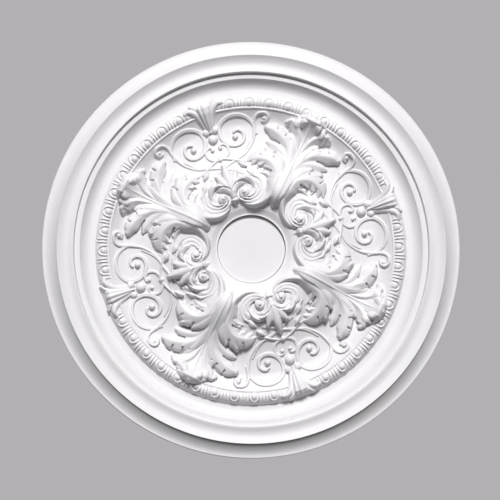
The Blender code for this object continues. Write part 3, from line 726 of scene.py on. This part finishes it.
def mirror_over(piece, angle):
    """Add the mirror image over the vertical plane at this angle from +Y, and join the halves."""
    bm = bmesh.new()
    bm.from_mesh(piece.data)
    copy = bmesh.ops.duplicate(bm, geom=bm.verts[:] + bm.faces[:])["geom"]
    copied_verts = [part for part in copy if isinstance(part, bmesh.types.BMVert)]
    copied_faces = [part for part in copy if isinstance(part, bmesh.types.BMFace)]
    flip = Matrix.Rotation(-angle, 4, "Z") @ Matrix.Scale(-1, 4, (1, 0, 0))
    bmesh.ops.transform(bm, matrix=flip @ Matrix.Rotation(angle, 4, "Z"), verts=copied_verts)
    bmesh.ops.reverse_faces(bm, faces=copied_faces)
    bmesh.ops.remove_doubles(bm, verts=bm.verts, dist=WELD)
    bm.to_mesh(piece.data)
    bm.free()


LEAF_STEP = 0.85
DEVICE_STEP = 0.7
leaf = sheet("acanthus_leaves", leaf_height, (0, 56), (78, 256), LEAF_STEP)
device = sheet("volutes_and_palmettes", device_height, (0, 70), (52, 158), DEVICE_STEP, True)
scrolls = sheet("scrollwork", scroll_height, (0, 96), (104, 238), DEVICE_STEP, True)
trumpets = sheet("trumpets", trumpet_height, (0, 206), (46, 262), DEVICE_STEP, True)
for piece, angle in ((leaf, 0.0), (device, pi / 4), (scrolls, pi / 4), (trumpets, pi / 4)):
    mirror_over(piece, angle)
    low = [round(1000 * min(v.co[k] for v in piece.data.vertices), 1) for k in range(3)]
    print(piece.name, len(piece.data.polygons), "quads, lowest corner in mm", low)

# %% [markdown]
# ## The egg unit and the turned ground as meshes
# The egg unit is a sheet of its own. The turned ground is one profile spun round Z, with the flat
# back closed, which is how a turner would cut the master pattern.

# %% Egg unit and turned casting
EGG_STEP = 0.62
eggs = sheet("egg_and_dart_ring", egg_height, (-17.2, 240.0), (17.2, 262.5), EGG_STEP)
print("egg unit", len(eggs.data.polygons), "quads")

SPIN_STEPS = 288
LIP_CHAMFER = 0.8
BACK_CHAMFER = 0.5
FINE_WELD = 0.000002
SHARP_ANGLE = radians(35)
# first radius, last radius and number of cuts, closer together where the profile bends
STRETCHES = ((0.0, 56.39, 8), (56.41, 57.4, 3), (57.5, 61.0, 8), (62.0, 98.0, 24),
             (100.0, 236.0, 56), (236.5, 242.0, 12), (242.5, 261.3, 18), (262.0, 269.0, 4),
             (270.5, 287.4, 20), (288.4, 295.0, 4), (295.7, 298.3, 9), (299.0, 325.8, 28),
             (326.2, 346.5, 22))


def turned_casting():
    """The casting without its carving, spun from its profile."""
    radii = np.concatenate([np.linspace(*stretch) for stretch in STRETCHES])
    line = list(zip(radii, ground(radii)))
    step = next(k for k, (r, h) in enumerate(line) if r >= MOUTH_RADIUS)
    line.insert(step, (MOUTH_RADIUS, DISC - GAP_DEPTH))
    line += [(ROSE_RADIUS - LIP_CHAMFER, LIP_THICKNESS),
             (ROSE_RADIUS, LIP_THICKNESS - LIP_CHAMFER),
             (ROSE_RADIUS, BACK_CHAMFER), (ROSE_RADIUS - BACK_CHAMFER, 0.0), (0.0, 0.0)]
    bm = bmesh.new()
    verts = [bm.verts.new((r * MM, 0, -h * MM)) for r, h in line]
    edges = [bm.edges.new(pair) for pair in zip(verts[:-1], verts[1:])]
    bmesh.ops.spin(bm, geom=verts + edges, cent=(0, 0, 0), axis=(0, 0, 1), angle=2 * pi,
                   steps=SPIN_STEPS, use_merge=True)
    bmesh.ops.remove_doubles(bm, verts=bm.verts, dist=FINE_WELD)
    bmesh.ops.recalc_face_normals(bm, faces=bm.faces)
    mesh = bpy.data.meshes.new("turned_casting")
    bm.to_mesh(mesh)
    bm.free()
    return add_object("turned_casting", mesh)


casting = turned_casting()
casting.data.shade_smooth()
casting.data.set_sharp_from_angle(angle=SHARP_ANGLE)
print("turned casting", len(casting.data.polygons), "faces")

# %% [markdown]
# ## Matt white coat
# The real rose is most likely rigid moulded polyurethane with a factory coat of white acrylic
# primer. It gives a soft, even white with hardly any shine. The skin has a fine grain like
# eggshell and faint waviness from the mould, so those two are the only patterns.

# %% Coat
def linear(code):
    """sRGB hex colour as linear values for a shader."""
    values = [int(code[k:k + 2], 16) / 255 for k in (1, 3, 5)]
    return [v / 12.92 if v <= 0.04045 else ((v + 0.055) / 1.055) ** 2.4 for v in values] + [1.0]


def add_node(tree, kind, links=None, **settings):
    """Add a node, set its sockets and properties, and link its inputs."""
    node = tree.nodes.new(kind)
    for name, value in settings.items():
        if hasattr(node, name):
            setattr(node, name, value)
        else:
            node.inputs[name.replace("_", " ")].default_value = value
    for name, source in (links or {}).items():
        tree.links.new(source, node.inputs[name])
    return node


WHITE = "#DEDCDE"
DIMMER_WHITE = "#DAD8DA"
GRAIN_MM = 0.9
GRAIN_DEPTH = 0.0001
GRAIN_STRENGTH = 0.25
WAVE_MM = 45.0
SMOOTHEST = 0.5
ROUGHEST = 0.66
PRIMER_IOR = 1.46


def white_primer():
    """Matt acrylic primer on moulded polyurethane."""
    material = bpy.data.materials.new("matt_acrylic_primer_on_polyurethane")
    material.use_nodes = True
    tree = material.node_tree
    shader = tree.nodes["Principled BSDF"]
    place = add_node(tree, "ShaderNodeTexCoord").outputs["Object"]
    grain = add_node(tree, "ShaderNodeTexNoise", {"Vector": place}, Scale=1000 / GRAIN_MM, Detail=3.0)
    wave = add_node(tree, "ShaderNodeTexNoise", {"Vector": place}, Scale=1000 / WAVE_MM, Detail=2.0)
    tone = add_node(tree, "ShaderNodeMix", {"Factor": wave.outputs["Fac"]}, data_type="RGBA")
    tone.inputs["A"].default_value = linear(WHITE)
    tone.inputs["B"].default_value = linear(DIMMER_WHITE)
    tree.links.new(tone.outputs["Result"], shader.inputs["Base Color"])
    gloss = add_node(tree, "ShaderNodeMapRange", {"Value": grain.outputs["Fac"]})
    gloss.inputs["To Min"].default_value = SMOOTHEST
    gloss.inputs["To Max"].default_value = ROUGHEST
    tree.links.new(gloss.outputs["Result"], shader.inputs["Roughness"])
    bump = add_node(tree, "ShaderNodeBump", {"Height": grain.outputs["Fac"]},
                    Strength=GRAIN_STRENGTH, Distance=GRAIN_DEPTH)
    tree.links.new(bump.outputs["Normal"], shader.inputs["Normal"])
    shader.inputs["IOR"].default_value = PRIMER_IOR
    return material


coat = white_primer()
print("coat made with grain of", GRAIN_MM, "mm")

# %% [markdown]
# ## Repeating round the circle
# Four leaves and four devices are the same shape turned by a quarter, and the eggs come in four
# groups of ten. One Geometry Nodes tree does both: it places groups a quarter turn apart and, in
# each group, copies the shape at an even pitch, then joins everything into one mesh.

# %% Repeat tree
def repeat_tree():
    """Node tree that copies its input geometry round Z in groups."""
    tree = bpy.data.node_groups.new("repeat_round", "GeometryNodeTree")
    face = tree.interface
    face.new_socket("Geometry", in_out="INPUT", socket_type="NodeSocketGeometry")
    for name, kind, value in (("Groups", "NodeSocketInt", 4), ("Copies", "NodeSocketInt", 1),
                              ("Pitch", "NodeSocketFloat", 0.0)):
        face.new_socket(name, in_out="INPUT", socket_type=kind).default_value = value
    face.new_socket("Coat", in_out="INPUT", socket_type="NodeSocketMaterial")
    face.new_socket("Geometry", in_out="OUTPUT", socket_type="NodeSocketGeometry")
    given = tree.nodes.new("NodeGroupInput").outputs
    out = tree.nodes.new("NodeGroupOutput")

    def maths(operation, a, b):
        node = tree.nodes.new("ShaderNodeMath")
        node.operation = operation
        for socket, value in zip(node.inputs, (a, b)):
            if isinstance(value, float):
                socket.default_value = value
            else:
                tree.links.new(value, socket)
        return node.outputs["Value"]

    count = maths("MULTIPLY", given["Groups"], given["Copies"])
    index = tree.nodes.new("GeometryNodeInputIndex").outputs["Index"]
    group = maths("FLOOR", maths("DIVIDE", index, given["Copies"]), 0.0)
    quarter = maths("MULTIPLY", group, maths("DIVIDE", 2 * pi, given["Groups"]))
    middle = maths("MULTIPLY", maths("SUBTRACT", given["Copies"], 1.0), 0.5)
    place = maths("SUBTRACT", maths("MODULO", index, given["Copies"]), middle)
    within = maths("MULTIPLY", place, given["Pitch"])
    turn = add_node(tree, "ShaderNodeCombineXYZ", {"Z": maths("ADD", quarter, within)})
    points = add_node(tree, "GeometryNodePoints", {"Count": count})
    copies = add_node(tree, "GeometryNodeInstanceOnPoints",
                      {"Points": points.outputs["Points"], "Instance": given["Geometry"],
                       "Rotation": turn.outputs["Vector"]})
    whole = add_node(tree, "GeometryNodeRealizeInstances", {"Geometry": copies.outputs["Instances"]})
    coated = add_node(tree, "GeometryNodeSetMaterial",
                      {"Geometry": whole.outputs["Geometry"], "Material": given["Coat"]})
    tree.links.new(coated.outputs["Geometry"], out.inputs["Geometry"])
    return tree


REPEAT = repeat_tree()


def repeat_round(piece, groups, copies, pitch):
    """Run the tree on a piece and keep the result as its plain mesh."""
    modifier = piece.modifiers.new("repeat", "NODES")
    modifier.node_group = REPEAT
    inputs = [item for item in REPEAT.interface.items_tree if item.in_out == "INPUT"]
    names = {item.name: item.identifier for item in inputs}
    modifier[names["Groups"]] = groups
    modifier[names["Copies"]] = copies
    modifier[names["Pitch"]] = pitch
    modifier[names["Coat"]] = coat
    evaluated = piece.evaluated_get(bpy.context.evaluated_depsgraph_get())
    whole = bpy.data.meshes.new_from_object(evaluated)
    piece.modifiers.remove(modifier)
    piece.data = whole
    whole.shade_smooth()


QUARTERS = 4
EGGS_IN_GROUP = 10
for piece in (leaf, device, scrolls, trumpets):
    repeat_round(piece, QUARTERS, 1, 0.0)
repeat_round(eggs, QUARTERS, EGGS_IN_GROUP, radians(EGG_PITCH))
casting.data.materials.append(coat)
PIECES = (leaf, device, scrolls, trumpets, eggs, casting)
for piece in PIECES:
    print(piece.name, sum(len(face.vertices) - 2 for face in piece.data.polygons), "triangles")

# %% [markdown]
# ## Onto the frame
# Every piece belongs to the same casting, so each rides on the one body and stands for the solid.

# %% Ride and replace
for piece in PIECES:
    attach(piece, "root")
    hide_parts(NODE)

# %% [markdown]
# ## Studio
# The rose is seen from below, nearly square on, with one soft lamp above it in the picture and a
# weak even fill. The picture is turned about 26 degrees against the leaves. A pale floor lies far
# below the camera, and the camera sees a plain mid-grey beyond the rose.

# %% Camera
PICTURE_ROLL = radians(25.8)
PICTURE_UP = Vector((sin(PICTURE_ROLL), cos(PICTURE_ROLL), 0.0))
PICTURE_RIGHT = Vector((-cos(PICTURE_ROLL), sin(PICTURE_ROLL), 0.0))
DOWN = Vector((0.0, 0.0, -1.0))
CAMERA_DISTANCE = 3.9
CAMERA_BELOW = radians(5.3)
CAMERA_LEFT = radians(2.6)
FRAME_WIDTH = 0.839
SENSOR_WIDTH = 36.0
AIM_DEPTH = 0.015
AIM_LOW = 0.0017
AIM_LEFT = 0.0025


def look_from(spot, target, up):
    """Rotation that makes -Z point from spot to target with +Y towards up."""
    back = (spot - target).normalized()
    right = up.cross(back).normalized()
    return Matrix((right, back.cross(right), back)).transposed().to_4x4()


target = AIM_DEPTH * DOWN - AIM_LOW * PICTURE_UP - AIM_LEFT * PICTURE_RIGHT
aim = DOWN - sin(CAMERA_BELOW) * PICTURE_UP - sin(CAMERA_LEFT) * PICTURE_RIGHT
spot = target + CAMERA_DISTANCE * aim.normalized()
camera_data = bpy.data.cameras.new("camera")
camera_data.sensor_width = SENSOR_WIDTH
camera_data.lens = SENSOR_WIDTH * CAMERA_DISTANCE / FRAME_WIDTH
camera = add_object("camera", camera_data)
camera.matrix_world = Matrix.Translation(spot) @ look_from(spot, target, PICTURE_UP)
bpy.context.scene.camera = camera
print("camera at", [round(v, 3) for v in spot], "lens", round(camera_data.lens, 1))

# %% Lamp and backdrop
LAMP_HEIGHT = radians(52.0)
LAMP_DISTANCE = 9.5
LAMP_SIZE = 2.1
LAMP_POWER = 1185.0
lamp_data = bpy.data.lights.new("key_lamp", "AREA")
lamp_data.shape = "DISK"
lamp_data.size = LAMP_SIZE
lamp_data.energy = LAMP_POWER
lamp = add_object("key_lamp", lamp_data)
lamp_spot = LAMP_DISTANCE * (cos(LAMP_HEIGHT) * PICTURE_UP + sin(LAMP_HEIGHT) * DOWN)
lamp.matrix_world = Matrix.Translation(lamp_spot) @ look_from(lamp_spot, Vector((0, 0, 0)), DOWN)

BACKDROP = "#B3B0B3"
FILL = 0.085
FILL_COLOUR = (0.98, 0.98, 1.0, 1.0)
world = bpy.data.worlds.new("studio")
bpy.context.scene.world = world
world.use_nodes = True
sky = world.node_tree
fill = sky.nodes["Background"]
fill.inputs["Color"].default_value = FILL_COLOUR
fill.inputs["Strength"].default_value = FILL
seen = add_node(sky, "ShaderNodeBackground", Color=linear(BACKDROP), Strength=1.0)
ray = add_node(sky, "ShaderNodeLightPath")
mixed = add_node(sky, "ShaderNodeMixShader", {"Fac": ray.outputs["Is Camera Ray"]})
sky.links.new(fill.outputs["Background"], mixed.inputs[1])
sky.links.new(seen.outputs["Background"], mixed.inputs[2])
sky.links.new(mixed.outputs["Shader"], sky.nodes["World Output"].inputs["Surface"])
bpy.context.scene.view_settings.view_transform = "Standard"
print("lamp of", LAMP_POWER, "W and a fill of", FILL)

# %% Floor
FLOOR_DEPTH = 8.0
FLOOR_HALF = 12.0
FLOOR_WHITE = "#D8D6D8"
bm = bmesh.new()
bmesh.ops.create_grid(bm, x_segments=1, y_segments=1, size=FLOOR_HALF)
bmesh.ops.translate(bm, verts=bm.verts, vec=(0.0, 0.0, -FLOOR_DEPTH))
floor_mesh = bpy.data.meshes.new("pale_floor")
bm.to_mesh(floor_mesh)
bm.free()
floor = add_object("pale_floor", floor_mesh)
floor_paint = bpy.data.materials.new("pale_floor_paint")
floor_paint.use_nodes = True
floor_shader = floor_paint.node_tree.nodes["Principled BSDF"]
floor_shader.inputs["Base Color"].default_value = linear(FLOOR_WHITE)
floor_shader.inputs["Roughness"].default_value = 0.9
floor_mesh.materials.append(floor_paint)
print("floor", FLOOR_DEPTH, "m below the rose")
